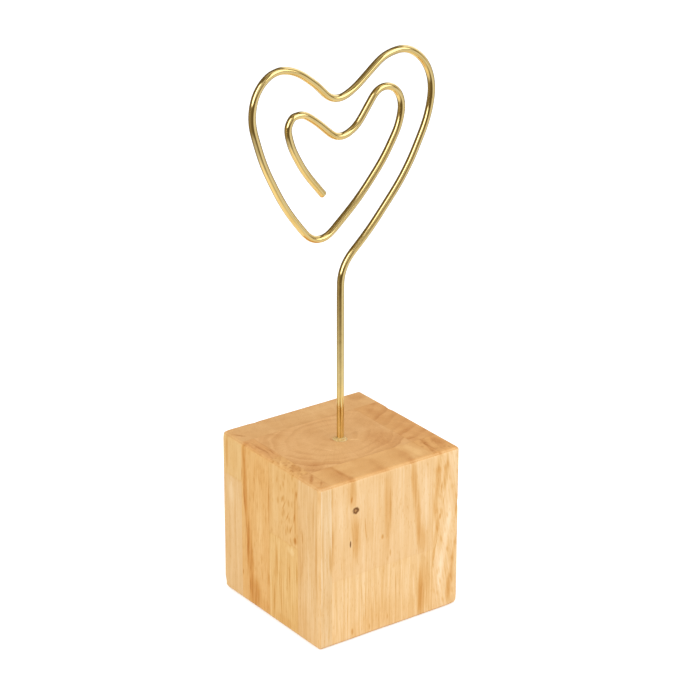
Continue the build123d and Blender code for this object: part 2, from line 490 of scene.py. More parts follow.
LEFT_UPPER_MARKS = [
    on_left(24.8, 12, 0.6, 20, 0.28),
    on_left(37.8, 12, 1.6, 24, 0.30),
    on_left(30.9, 10, 0.9, 3.0, 0.48, -14),
    on_left(31.8, 11.5, 0.6, 6.0, 0.40, -28),
    on_left(33.6, 14.5, 0.7, 5.5, 0.42, -30),
    on_left(35.6, 17.5, 0.7, 5.0, 0.44, -26),
    on_left(37.2, 14.0, 0.9, 4.0, 0.44, -10),
    on_left(37.6, 21, 2.4, 3.0, 0.44),
    on_left(38.3, 6.5, 0.9, 4.0, 0.40),
    on_left(32.4, 2.5, 0.7, 3.5, 0.34),
    on_left(30.5, 17.5, 0.6, 3.0, 0.36),
    on_left(26.4, 7.5, 0.6, 3.5, 0.30, -8),
    on_left(28.0, 14, 5.0, 18, -0.08),
    on_top(3.0, 34, 4.0, 8, 0.22, 24),
    on_top(1.6, 28, 1.4, 6, -0.14, 24),
]
LEFT_LOWER_MARKS = [
    on_left(28.1, 32, 1.0, 14, 0.34),
    on_left(30.4, 42, 0.8, 20, 0.28),
    on_left(33.2, 33, 0.9, 16, 0.26),
    on_left(38.2, 31, 1.2, 11, 0.46),
    on_left(27.8, 29, 0.6, 10, 0.36),
    on_left(29.4, 36, 0.5, 10, 0.30, 2.0),
    on_left(34.3, 33, 0.6, 9, 0.34),
    on_left(32.6, 45, 0.5, 10, 0.28),
    on_left(26.6, 44, 1.4, 14, 0.26),
    on_left(35.0, 25, 5.0, 3.4, -0.20),
    on_left(36.4, 45, 1.0, 14, 0.22),
    on_left(31.5, 49, 14, 5, 0.14),
]
CORNER_LEFT_MARKS = [
    on_left(41.0, 18, 0.7, 6, 0.44, 4.0),
    on_left(40.9, 29, 0.7, 9, 0.40),
    on_left(46.4, 34, 0.5, 6, 0.28),
    on_left(40.4, 30, 0.8, 22, 0.26),
    on_left(46.4, 10, 1.0, 18, 0.30),
    on_left(48.0, 26, 1.0, 34, 0.24),
    on_left(44.0, 34, 4.0, 40, -0.10),
    on_front(4.1, 23, 1.3, 14, 0.34),
    on_front(1.2, 20, 1.0, 34, 0.12),
    on_top(2.4, 42, 1.6, 8, 0.34, 38),
    on_top(3.4, 46, 1.0, 5, 0.24, 38),
]
FRONT_UPPER_MARKS = [
    on_front(4.5, 20, 2.6, 22, 0.40),
    on_front(4.8, 17, 0.7, 8, 0.34),
    on_front(11.4, 6.3, 0.7, 3.0, 0.55, -6),
    on_front(17.8, 15, 3.0, 18, 0.12, 4),
    on_front(4.3, 26, 0.6, 8, 0.30),
    on_front(3.9, 4, 2.0, 12, 0.22),
    on_front(11.7, 4, 3.6, 15, 0.34),
    on_front(12.8, 19, 4.0, 21, 0.30, 3),
    on_front(23.8, 14, 3.6, 36, 0.32),
    on_front(24.9, 13, 0.8, 18, 0.28),
    on_front(24.7, 27, 0.9, 3.2, 0.40),
    on_front(21.9, 21, 0.8, 2.2, 0.50),
    on_front(33.0, 5, 3.6, 18, 0.28, 4),
    on_front(34.4, 15, 3.4, 28, 0.28, 4),
    on_front(36.2, 26, 4.2, 14, 0.28, 6),
    on_front(37.8, 13, 2.6, 26, -0.16, 2),
    on_front(28.6, 14, 6.0, 34, -0.06),
    on_front(8.0, 12, 4.0, 26, -0.10),
    on_front(18.6, 10, 4.0, 24, -0.06),
    on_front(16.2, 16.5, 0.6, 10, 0.40, 6),
    on_top(24, 44, 2.6, 12, 0.10),
    on_top(11.5, 43, 2.0, 9, 0.16),
    on_top(37.4, 43.5, 4.6, 11, -0.14),
]
FRONT_UPPER_CRACKS = [
    on_front(10.9, 20.3, 0.62, 2.7, 0.80),
]
FRONT_LOWER_MARKS = [
    on_front(37.2, 41, 5.4, 28, 0.29),
    on_front(36.0, 44, 3.0, 18, 0.24),
    on_front(22.0, 46, 22, 16, 0.10),
    on_front(8.0, 40, 6.0, 24, -0.08),
    on_front(4.3, 31, 1.6, 8, 0.20),
    on_front(31.0, 38, 4.0, 20, -0.06),
    on_front(10.2, 42, 0.5, 10, 0.34),
    on_front(14.8, 38, 0.4, 12, 0.32),
    on_front(16.2, 37, 0.4, 10, 0.30),
    on_front(17.6, 41, 0.4, 14, 0.34),
    on_front(19.8, 40, 0.4, 10, 0.24),
    on_front(27.0, 38, 0.5, 12, 0.22),
    on_front(23.4, 45, 0.4, 10, 0.30),
    on_front(11.8, 48.5, 0.8, 3.0, 0.50),
    on_front(17.6, 48.5, 0.6, 3.0, 0.45),
    on_front(24.2, 47.5, 0.6, 2.5, 0.40),
]
CORNER_RIGHT_MARKS = [
    on_front(42.0, 8, 3.0, 18, 0.28, -4),
    on_front(44.8, 7, 2.2, 14, 0.34, -5),
    on_front(42.2, 5, 0.5, 4, 0.40, -6),
    on_front(41.2, 16, 3.0, 16, 0.22, -6),
    on_front(41.4, 29, 0.5, 5, 0.34, -16),
    on_front(39.6, 34.5, 0.5, 5, 0.34, -16),
    on_front(43.4, 11, 0.5, 5, 0.38, -8),
    on_front(44.2, 15, 0.5, 5, 0.34, -8),
    on_front(43.0, 20.4, 0.9, 2.8, 0.60, -4),
    on_front(41.6, 25, 2.6, 14, 0.30, -8),
    on_front(40.5, 32.5, 1.8, 7, 0.38, -10),
    on_front(44.6, 30, 3.2, 42, -0.22, -9),
    on_front(48.7, 20, 1.2, 8, 0.34, -6),
    on_front(46.6, 44, 3.0, 15, 0.40, -6),
    on_front(48.0, 34, 1.6, 14, 0.22, -7),
    on_top(42.8, 44, 0.9, 12, 0.20, -4),
    on_top(47.0, 43, 4.4, 9, 0.24),
]
RIGHT_MARKS = [
    on_top(43.5, 17, 5.0, 12, 0.10),
    on_top(47.5, 9, 4.0, 8, 0.16),
]
CORE_MARKS = [
    on_top(22.5, 24.0, 1.4, 3.0, 0.16, 10),
    on_top(30.5, 23.6, 4.5, 1.6, 0.08, -12),
    on_top(27.5, 27.5, 4.0, 1.6, -0.16, 28),
    on_top(17.5, 29, 1.0, 7.0, -0.14, -34),
    on_top(35.0, 31.0, 14.0, 16.0, 0.20, 20),
    on_top(38.0, 20.0, 8.0, 16.0, 0.10),
    on_top(7.0, 36.0, 8.0, 10.0, 0.14),
    on_top(21.0, 17.0, 10.0, 9.0, 0.08),
]

WOODS = {
    "back_stave_upper": dict(
        side=linear(233, 190, 125), end=linear(227, 175, 113), pith=(10, 95), spacing=5.5,
        ring_end=0.16, ring_side=0.08, seed=1.7, marks=BACK_UPPER_MARKS, fine=0.12,
        joint=block_joint("back_stave_upper", "X", 0.10),
    ),
    "back_stave_lower": dict(
        side=linear(234, 192, 134), end=linear(223, 176, 118), pith=(-30, 80), spacing=4.5,
        ring_end=0.26, ring_side=0.12, seed=5.3, marks=BACK_LOWER_MARKS, fine=0.14,
        joint=block_joint("back_stave_upper", "X", 0.10),
    ),
    "left_stave_rear": dict(
        side=linear(233, 182, 112), end=linear(226, 168, 103), pith=(-90, 14), spacing=1.9,
        ring_end=0.36, ring_side=0.08, lean=(0.01, -0.05), seed=2.9, marks=LEFT_REAR_MARKS,
        fine=0.26, broad=0.10, flecks=0.20,
    ),
    "left_stave_front_upper": dict(
        side=linear(234, 188, 122), end=linear(231, 178, 110), pith=(-70, 40), spacing=2.2,
        ring_end=0.34, ring_side=0.08, seed=8.1, marks=LEFT_UPPER_MARKS, flecks=0.62,
        fleck_edge=(-1.0, -13.0), fine=0.14, broad=0.08,
        joint=block_joint("left_stave_front_upper", "X", 0.12),
    ),
    "left_stave_front_lower": dict(
        side=linear(234, 189, 120), end=linear(224, 172, 109), pith=(-60, -40), spacing=2.6,
        ring_end=0.34, ring_side=0.10, seed=3.7, marks=LEFT_LOWER_MARKS, fine=0.38, broad=0.10,
        joint=block_joint("left_stave_front_upper", "X", 0.12),
    ),
    "core_stave": dict(
        side=linear(231, 186, 124), end=linear(230, 177, 115), pith=(-0.8, 2.0), stretch=1.30,
        spacing=3.0, ring_end=0.50, ring_side=0.20, wander=0.9, seed=6.1, marks=CORE_MARKS,
        bold=16.1,
    ),
    "right_stave": dict(
        side=linear(235, 191, 131), end=linear(223, 165, 100), pith=(7, 26), spacing=4.0,
        ring_end=0.44, ring_side=0.22, wander=0.9, seed=4.4, marks=RIGHT_MARKS, mottle=0.16,
        broad=0.18,
    ),
    "corner_stave_left": dict(
        side=linear(237, 202, 153), shaded_flank=linear(232, 187, 126), end=linear(228, 173, 108),
        pith=(-60, -80), spacing=3.1, ring_end=0.46, ring_side=0.12, seed=9.6,
        marks=CORNER_LEFT_MARKS, fine=0.28,
    ),
    "front_stave_upper": dict(
        side=linear(239, 199, 145), end=linear(230, 176, 110), pith=(-135.4, -20), spacing=11.2,
        ring_end=0.50, ring_side=0.10, wander=0.35, seed=7.2, marks=FRONT_UPPER_MARKS,
        cracks=FRONT_UPPER_CRACKS, fine=0.17, broad=0.08, knot=True,
        joint=block_joint("front_stave_upper", "Y", 0.04),
    ),
    "front_stave_lower": dict(
        side=linear(241, 202, 147), end=linear(226, 176, 114), pith=(60, -70), spacing=2.7,
        ring_end=0.36, ring_side=0.12, seed=7.2, marks=FRONT_LOWER_MARKS, fine=0.30, foot=0.10,
        broad=0.08, joint=block_joint("front_stave_upper", "Y", 0.04),
    ),
    "corner_stave_right": dict(
        side=linear(242, 203, 149), shaded_flank=linear(236, 194, 136), end=linear(228, 171, 103),
        pith=(70, -30), spacing=3.4, ring_end=0.52, ring_side=0.16, lean=(-0.16, 0.0), seed=5.9,
        marks=CORNER_RIGHT_MARKS, flecks=0.42, mottle=0.14,
    ),
}

# ---- the staves' surfaces ----
GRID = 1.0 * MM
FINE_GRID = 0.25 * MM           # round the knot
FINE_REACH = 2.25 * MM
SKIN = 0.05 * MM                # what lies deeper than this isn't worn
SMOOTH_WITHIN = math.radians(38)
FLAT_WITHIN = math.radians(0.5)
# (centre in millimetres, radius, depth) of what the block has picked up.
DINGS = [
    (Vector((LEFT_MM, 22.6, TOP_MM)), 2.6, 0.34),
    (Vector((-22.4, 18.4, TOP_MM)), 1.3, 0.10),
    (Vector((LEFT_MM, -6.5, TOP_MM)), 1.8, 0.22),
    (Vector((-24.6, -24.4, 12.5)), 2.0, 0.20),
    (Vector((RIGHT_MM, FRONT_MM, 33.0)), 1.7, 0.22),
    (Vector((8.5, FRONT_MM, TOP_MM)), 1.5, 0.16),
    (Vector((RIGHT_MM, 9.0, TOP_MM)), 2.1, 0.24),
    (Vector((-14.0, BACK_MM, TOP_MM)), 1.8, 0.20),
    (Vector((RIGHT_MM, BACK_MM, 20.0)), 2.2, 0.26),
    (Vector((LEFT_MM, BACK_MM, 1.5)), 2.6, 0.30),
    (Vector((23.5, FRONT_MM, 1.0)), 2.4, 0.26),
    (KNOT, KNOT_RADIUS * 1.15, 0.16),
    (Vector((-14.1, FRONT_MM, 30.9)), 0.5, 0.10),
]


def outward(point):
    """(direction out of the rounded block, depth below its surface, 1 on an edge and 0 on a face)."""
    inner = Vector(min(max(c, low + EDGE_RADIUS), high - EDGE_RADIUS)
                   for c, low, high in zip(point, BLOCK_LOW, BLOCK_HIGH))
    away = point - inner
    reach = away.length
    if reach < EDGE_RADIUS * 0.5:
        return Vector((0, 0, 0)), EDGE_RADIUS, 0.0
    steepest = max(abs(c) for c in away) / reach
    return away / reach, EDGE_RADIUS - reach, smoothstep(0.0, 0.29, 1 - steepest)


def wear_depth(point, edge):
    """Millimetres that sanding and handling have taken off at a point of the surface."""
    at = point * PER_METRE
    rolling = 0.5 + 0.5 * noise.noise(at / 11.0)
    rough = 0.5 + 0.5 * noise.noise(at / 2.7 + Vector((9, 4, 2)))
    depth = 0.05 * rolling + edge * (0.05 + 0.20 * rough * rolling)
    for centre, radius, deep in DINGS:
        distance = (at - centre).length / radius
        if distance < 1:
            depth += deep * (1 - smoothstep(0.1, 1.0, distance))
    return depth


def grid_planes(low, high, near=None):
    """Places of the cuts along one axis, closer together within reach of near."""
    places = [step * GRID for step in range(math.ceil(low / GRID), math.floor(high / GRID) + 1)]
    if near is not None:
        count = round(FINE_REACH / FINE_GRID)
        places += [near + step * FINE_GRID for step in range(-count, count + 1)]
    return [place for place in places if low + 0.02 * MM < place < high - 0.02 * MM]


def cut_into_grid(bm, low, high, near=None):
    for axis in range(3):
        normal = Vector((0, 0, 0))
        normal[axis] = 1
        spot = near[axis] if near is not None and axis != 1 else None
        for place in grid_planes(low[axis], high[axis], spot):
            everything = bm.verts[:] + bm.edges[:] + bm.faces[:]
            bmesh.ops.bisect_plane(bm, geom=everything, dist=1e-7, plane_co=normal * place, plane_no=normal)


def plain_copy(node):
    """The CAD node's closed surface, without its stored normals, as a bmesh of merged flat faces."""
    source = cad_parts[node].data
    plain = bpy.data.meshes.new("plain")
    plain.from_pydata([v.co[:] for v in source.vertices], [], [p.vertices[:] for p in source.polygons])
    bm = bmesh.new()
    bm.from_mesh(plain)
    bpy.data.meshes.remove(plain)
    bmesh.ops.remove_doubles(bm, verts=bm.verts[:], dist=1e-6)
    bmesh.ops.dissolve_limit(bm, angle_limit=FLAT_WITHIN, verts=bm.verts[:], edges=bm.edges[:])
    return bm


def new_piece(name, bm, material):
    mesh = bpy.data.meshes.new(name)
    bm.to_mesh(mesh)
    bm.free()
    piece = bpy.data.objects.new(name, mesh)
    bpy.context.scene.collection.objects.link(piece)
    mesh.materials.append(material)
    mesh.shade_smooth()
    return piece


def make_stave(node):
    """A stave with worn edges, dings and its own wood."""
    low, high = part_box(node)
    bm = plain_copy(node)
    cut_into_grid(bm, low, high, KNOT * MM if node == "front_stave_upper" else None)
    edge_layer = bm.verts.layers.float.new("edge")
    for vertex in bm.verts:
        direction, depth, edge = outward(vertex.co)
        if depth < SKIN:
            vertex[edge_layer] = edge
            vertex.co -= direction * (wear_depth(vertex.co, edge) * MM)
    material = wood("wood_" + node, **WOODS[node])
    piece = new_piece(node.replace("stave", "board"), bm, material)
    piece.data.set_sharp_from_angle(angle=SMOOTH_WITHIN)
    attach(piece, "root")
    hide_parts(node)
    return piece


for stave in WOODS:
    make_stave(stave)


# ======================= wire =======================

wire_low, wire_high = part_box("heart_wire")
WIRE_RADIUS = (wire_high.y - wire_low.y) / 2
STEM_HEIGHT = 53.3
# Bends in the order the wire is formed: across and up from the first bend, and the radius, in mm.
FIRST_BEND = [(0, 0, 12)]
OUTER_RIGHT = [(10, 9, 84), (23, 24, 60), (30.5, 39, 30), (32, 48, 15), (29.5, 55.5, 13), (22.5, 61, 9)]
OUTER_NOTCH = [(14.5, 59.5, 10), (5, 52, 15), (-2, 48.5, 6), (-8, 55, 26)]
OUTER_LEFT = [(-14.5, 60, 15), (-22, 62, 7.5), (-28, 57, 11), (-30, 49, 16), (-26, 35.5, 60), (-19, 21.5, 66)]
HEART_TIP = [(-12.5, 13, 24), (-7.5, 7.5, 6)]
INNER_RIGHT = [(6.5, 19.5, 72), (15, 29.5, 45), (20, 38, 14), (21.5, 44.5, 8), (19, 50, 5.5)]
INNER_NOTCH = [(13, 51, 4.5), (5, 40, 10), (-1, 38, 5), (-7.5, 44, 28)]
INNER_LEFT = [(-13.5, 48.5, 5), (-18.5, 46, 4), (-16.5, 38.5, 17), (-12.5, 31, 42)]
CUT_END = (-6, 23)
BENDS = (FIRST_BEND + OUTER_RIGHT + OUTER_NOTCH + OUTER_LEFT + HEART_TIP + INNER_RIGHT + INNER_NOTCH
         + INNER_LEFT)
ARC_STEP = math.radians(2)
WIRE_STEP = 0.5
SMOOTHING = 1.2
AROUND = 24
PRESSED = 0.035                 # millimetres that the tightest bends are flattened by
PRESSED_FROM = 0.05             # curvature, per millimetre, where the flattening begins and is full
PRESSED_FULL = 0.22
UNEVEN = 0.006
BURR = 0.14
BURR_AT = 2.6
SHEAR = 0.10
END_STEPS = ((0.96, 0.05), (0.60, 0.06), (0.25, 0.06))  # share of the radius, and how far it stands out
WIRE_SHARP = math.radians(34)
# (millimetres along the wire from its foot, depth, half length, angle round the wire) of the pliers' marks.
PLIER_MARKS = [
    (64.0, 0.07, 1.4, 0.0), (75.5, 0.05, 1.2, 3.14), (166.0, 0.06, 1.3, 0.2), (196.0, 0.06, 1.2, 2.9),
    (211.0, 0.07, 1.2, 0.3), (262.0, 0.08, 1.3, 3.3), (330.0, 0.06, 1.2, 0.1), (352.0, 0.06, 1.2, 3.0),
    (371.0, 0.06, 1.1, 0.4),
]


def wire_corners():
    """(start, corners, their radii, end) of the wire's centreline, as (across, up) in millimetres."""
    foot = wire_low.z * PER_METRE
    base = TOP_MM + STEM_HEIGHT
    corners = [Vector((across, base + up)) for across, up, radius in BENDS]
    radii = [radius for across, up, radius in BENDS]
    return Vector((0, foot)), corners, radii, Vector((CUT_END[0], base + CUT_END[1]))


def rounded_path():
    """Straight runs joined by tangent arcs."""
    start, corners, radii, end = wire_corners()
    path = [start]
    ends = [start, *corners, end]
    for before, corner, after, radius in zip(ends, corners, ends[2:], radii):
        inward, onward = (before - corner).normalized(), (after - corner).normalized()
        half = inward.angle(onward) / 2
        middle = (inward + onward).normalized()
        centre = corner + middle * (radius / math.sin(half))
        first = corner + inward * (radius / math.tan(half)) - centre
        last = corner + onward * (radius / math.tan(half)) - centre
        turn = first.angle_signed(last)
        count = max(3, math.ceil(abs(turn) / ARC_STEP))
        for step in range(count + 1):
            path.append(centre + Matrix.Rotation(-turn * step / count, 2) @ first)
    return path + [end]


def resampled(path, spacing):
    """Points at even spacing along a path."""
    lengths = [0.0]
    for a, b in zip(path, path[1:]):
        lengths.append(lengths[-1] + (b - a).length)
    count = round(lengths[-1] / spacing)
    points, run = [], 0
    for step in range(count + 1):
        target = lengths[-1] * step / count
        while run < len(path) - 2 and lengths[run + 1] < target:
            run += 1
        span = lengths[run + 1] - lengths[run]
        share = (target - lengths[run]) / span if span else 0.0
        points.append(path[run].lerp(path[run + 1], share))
    return points


def smoothed(points, spread):
    """Each point is the weighted mean of its neighbours, so that the bends begin and end softly."""
    reach = math.ceil(3 * spread)
    weights = [math.exp(-0.5 * (k / spread) ** 2) for k in range(-reach, reach + 1)]
    result = []
    for place in range(len(points)):
        keep = min(reach, place, len(points) - 1 - place)
        window = range(-keep, keep + 1)
        weight = [weights[reach + k] for k in window]
        mean = Vector((0, 0))
        for k, w in zip(window, weight):
            mean += points[place + k] * w
        result.append(mean / sum(weight))
    return result


# Dark lines along the wire: partly die lines, partly painted dark reflection, one of them turned to face the
# camera.
DIE_AND_REFLECTION_LINES = 6
CAMERA_FACING_LINE = math.radians(-57)    # angle round the wire of the line that faces the camera
# The paler brass near the wood is painted reflection, not polish.
FOOT_FULL = 9.0                 # the foot's paler colour reaches this far above the wood, and fades by
FOOT_END = 13.0                 # this far
BRASS = (0.96, 0.75, 0.34, 1)
PALE_BRASS = (1.0, 0.95, 0.58, 1)
TARNISHED = (0.88, 0.64, 0.24, 1)
SPECK = (0.56, 0.38, 0.14, 1)
DARK_LINE = (0.50, 0.32, 0.10, 1)
DARK_BAND = (0.40, 0.26, 0.045, 1)
BRASS_BUMP = 0.00002


def brass():
    """Brass wire: fine lines along its length, faint tarnish and specks, softened polish, and painted
    reflection: paler near the wood, and dark lines that are partly painted reflection.
    """
    g = Graph(bpy.data.materials.new("brass"))
    drawn = g.node("ShaderNodeAttribute", {"attribute_name": "drawn"}).outputs["Vector"]
    place = g.scaled(g.node("ShaderNodeTexCoord").outputs["Object"], PER_METRE)
    lines = g.swing(g.vector("MULTIPLY", drawn, (3.4, 3.4, 0.03)), 1.0, 3.0)
    # Faint dark lines run the length of the wire, evenly spread round it, one of them facing the camera:
    # partly die lines, partly painted dark reflection.
    outward_share, sideways, along = g.split(drawn)
    angle = g.math("ARCTAN2", sideways, outward_share)
    around = g.times(g.math("SUBTRACT", angle, CAMERA_FACING_LINE), DIE_AND_REFLECTION_LINES)
    wobble = g.swing(g.join(0.0, 0.0, along), 0.03, 1.0)
    die_and_reflection_wave = g.math("COSINE", g.math("MULTIPLY_ADD", wobble, 0.5, around))
    fading = g.step(g.swing(drawn, 0.07, 1.0), -1.2, 0.6, 0.35, 1.0)
    die_and_reflection_bands = g.times(g.step(die_and_reflection_wave, -0.3, 0.8), fading)
    ripple = g.swing(g.vector("MULTIPLY", drawn, (0.6, 0.6, 0.30)), 1.0, 1.0)
    tarnish = g.step(g.noise(place, 0.16, 4.0, 0.6), 0.46, 0.72)
    specks = g.step(g.noise(place, 1.5, 2.0), 0.66, 0.76)
    # A paler colour near the wood is painted reflection: it keeps the wood's reflection from turning too red.
    foot = g.step(g.split(place)[2], TOP_MM + FOOT_END, TOP_MM + FOOT_FULL)
    reflection_pale_brass = g.blend(foot, BRASS, PALE_BRASS)
    colour = g.blend(g.times(tarnish, 0.45), reflection_pale_brass, TARNISHED)
    colour = g.blend(g.times(specks, 0.30), colour, SPECK)
    colour = g.blend(g.step(lines, 0.1, 0.9, 0.0, 0.62), colour, DARK_LINE)
    # The dark lines are stronger near the wood, as painted stripes of the wood's reflection.
    strength = g.math("MULTIPLY_ADD", foot, 0.55, 0.45)
    colour = g.blend(g.times(die_and_reflection_bands, strength), colour, DARK_BAND)
    roughness = g.total([g.math("MULTIPLY_ADD", tarnish, 0.05, 0.10), g.times(lines, 0.015),
                         g.times(specks, 0.10)])
    height = g.math("MULTIPLY_ADD", lines, 0.15, ripple)
    normal = g.bump(height, 0.35, BRASS_BUMP)
    shader = g.node("ShaderNodeBsdfPrincipled", Base_Color=colour, Roughness=roughness, Normal=normal)
    shader.inputs["Metallic"].default_value = 1.0
    return g.finish(shader)


def make_wire():
    """The wire as one swept mesh: pressed in tight bends, marked by pliers, sheared off at its end."""
    points = smoothed(resampled(rounded_path(), WIRE_STEP), SMOOTHING / WIRE_STEP)
    bm = bmesh.new()
    drawn = bm.verts.layers.float_vector.new("drawn")
    rings = []
    count = len(points)
    for place, point in enumerate(points):
        before, after = points[max(place - 1, 0)], points[min(place + 1, count - 1)]
        tangent = (after - before).normalized()
        bend = 0.0
        if 0 < place < count - 1:
            bend = (before - 2 * point + after).length / WIRE_STEP ** 2
        along = place * WIRE_STEP
        pressed = PRESSED * smoothstep(PRESSED_FROM, PRESSED_FULL, bend)
        ring = []
        for step in range(AROUND):
            angle = math.tau * step / AROUND
            radius = WIRE_RADIUS * PER_METRE - pressed * math.cos(angle) ** 2
            radius += UNEVEN * (noise.noise(Vector((along / 9, math.cos(angle), math.sin(angle)))) - 0.8)
            for where, deep, half, side in PLIER_MARKS:
                spread = (along - where) / half
                facing = math.cos(angle - side)
                if abs(spread) < 1 and facing > 0:
                    radius -= deep * (1 - spread * spread) * facing ** 3
            normal = Vector((-tangent.y, tangent.x))
            offset = normal * math.cos(angle) * radius
            position = Vector((point.x + offset.x, math.sin(angle) * radius, point.y + offset.y)) * MM
            vertex = bm.verts.new(position)
            vertex[drawn] = Vector((math.cos(angle), math.sin(angle), along))
            ring.append(vertex)
        rings.append(ring)
    for first, second in zip(rings, rings[1:]):
        for step in range(AROUND):
            other = (step + 1) % AROUND
            bm.faces.new((first[step], first[other], second[other], second[step]))
    close_end(bm, rings[0], rings[1], 0.0)
    close_end(bm, rings[-1], rings[-2], 1.0)
    bmesh.ops.recalc_face_normals(bm, faces=bm.faces[:])
    piece = new_piece("brass_heart", bm, brass())
    piece.data.set_sharp_from_angle(angle=WIRE_SHARP)
    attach(piece, "root")
    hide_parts("heart_wire")
    return piece


def close_end(bm, ring, neighbour, burr):
    """Closes an end with a small chamfer, a slightly slanted face and, where burr is 1, a lip on one side."""
    middle = sum((v.co for v in ring), Vector()) / len(ring)
    behind = sum((v.co for v in neighbour), Vector()) / len(neighbour)
    ahead = (middle - behind).normalized()
    drawn = bm.verts.layers.float_vector["drawn"]
    previous = ring
    for share, forward in END_STEPS:
        inner = []
        for vertex in ring:
            spoke = (vertex.co - middle) * share
            angle = math.atan2(vertex[drawn].y, vertex[drawn].x)
            slant = -SHEAR * math.cos(angle) * share
            lip = burr * BURR * max(0.0, math.cos(angle - BURR_AT)) ** 6 * (share > 0.9)
            made = bm.verts.new(middle + spoke + ahead * ((forward + slant * burr + lip) * MM))
            made[drawn] = vertex[drawn]
            inner.append(made)
        for step in range(len(ring)):
            other = (step + 1) % len(ring)
            bm.faces.new((previous[step], previous[other], inner[other], inner[step]))
        previous = inner
    bm.faces.new(previous)


make_wire()


# ======================= glue =======================

GLUE_AROUND = 72
# Share of the way out from the wire, and share of the height that is left there.
GLUE_PROFILE = [(0.0, 1.0), (0.10, 0.93), (0.25, 0.80), (0.42, 0.66), (0.60, 0.50), (0.76, 0.34),
                (0.90, 0.15), (1.0, 0.0)]
GLUE_WIDEST = math.radians(-132)
GLUE_GAP = 0.15 * MM            # between the wire and the wall of its hole
GLUE_LIP = 0.05 * MM            # the rim goes down into the hole from this far below the top
GLUE_LAP = 0.03 * MM            # how far the rim dips, so that it meets the worn wood
GLUE_CLEAR = linear(208, 164, 98)
GLUE_CLOUDY = linear(240, 200, 136)
GLUE_BUMP = 0.00010
GLUE_LUMPS = 1600               # how closely the lumps lie, per metre
GLUE_SHARP = math.radians(60)


def glue():
    """Dried glue: yellowish white, half clear, faintly wrinkled."""
    g = Graph(bpy.data.materials.new("dried_glue"))
    place = g.scaled(g.node("ShaderNodeTexCoord").outputs["Object"], PER_METRE)
    cloudy = g.noise(place, 1.6, 4.0)
    colour = g.blend(g.step(cloudy, 0.35, 0.68), GLUE_CLEAR, GLUE_CLOUDY)
    wrinkles = g.total([g.noise(place, 2.6, 4.0), g.times(g.noise(place, 9.0, 2.0), 0.3)])
    normal = g.bump(wrinkles, 0.4, GLUE_BUMP)
    roughness = g.step(cloudy, 0.3, 0.7, 0.34, 0.52)
    shader = g.node("ShaderNodeBsdfPrincipled", Base_Color=colour, Roughness=roughness, Normal=normal)
    shader.inputs["Subsurface Weight"].default_value = 0.35
    shader.inputs["Subsurface Radius"].default_value = (0.0012, 0.0008, 0.0004)
    shader.inputs["Subsurface Scale"].default_value = 1.0
    shader.inputs["IOR"].default_value = 1.46
    return g.finish(shader)


def make_glue():
    """A squeezed-out bead, widest to the front and left, thin at the back, and the glue down the hole."""
    low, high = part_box("glue_bead")
    reach = high.x
    rise = high.z - TOP
    shaft = WIRE_RADIUS
    mouth = shaft + GLUE_GAP
    bm = bmesh.new()
    columns = []
    for step in range(GLUE_AROUND):
        angle = math.tau * step / GLUE_AROUND
        ray = Vector((math.cos(angle), math.sin(angle), 0))
        lumps = noise.noise(ray * 1.3 + Vector((3.1, 0.7, 0.2)))
        forward = 0.5 + 0.5 * math.cos(angle - GLUE_WIDEST)
        width = (reach - mouth) * min(1.0, 0.44 + 0.58 * forward + 0.22 * lumps)
        height = rise * min(1.0, 0.55 + 0.38 * forward + 0.25 * noise.noise(ray * 2.1 + Vector((0.4, 5, 2))))
        column = []
        for out, up in GLUE_PROFILE:
            radius = shaft + (mouth + width - shaft) * out
            lump = noise.noise((ray * radius * GLUE_LUMPS) + Vector((7, 2, 4)))
            bulge = 1 + 0.22 * lump * math.sin(math.pi * out)
            z = TOP + height * up * bulge - GLUE_LAP * out
            column.append(bm.verts.new(ray * radius + Vector((0, 0, z))))
        for radius, z in ((mouth, TOP - GLUE_LIP), (mouth, low.z), (shaft, low.z)):
            column.append(bm.verts.new(ray * radius + Vector((0, 0, z))))
        columns.append(column)
    for column, following in zip(columns, columns[1:] + columns[:1]):
        for place in range(len(column)):
            other = (place + 1) % len(column)
            bm.faces.new((column[place], column[other], following[other], following[place]))
    bmesh.ops.recalc_face_normals(bm, faces=bm.faces[:])
    piece = new_piece("glue_collar", bm, glue())
    piece.data.set_sharp_from_angle(angle=GLUE_SHARP)
    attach(piece, "root")
    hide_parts("glue_bead")
    return piece


make_glue()


# ======================= floor, light and camera =======================

FLOOR_SIZE = 30.0
FLOOR_GAP = 0.05 * MM
PAPER = (0.80, 0.80, 0.80, 1)
WHITE = (1, 1, 1, 1)
NEAR_TINT = (1.0, 0.90, 0.72, 1)    # the paper beside the block, as the brass mirrors it
CAMERA_GLOW = 0.55                  # lifts the paper to white for the camera alone
NEAR_GLOW, FAR_GLOW = 1.10, 0.84    # how bright the mirrored paper is beside the block and further out
NEAR_START, NEAR_END = 0.143, 0.160
ROOM_START, ROOM_END = 0.14, 0.25   # the mirrored paper gives way to the room between these
LIGHTING = 0.81


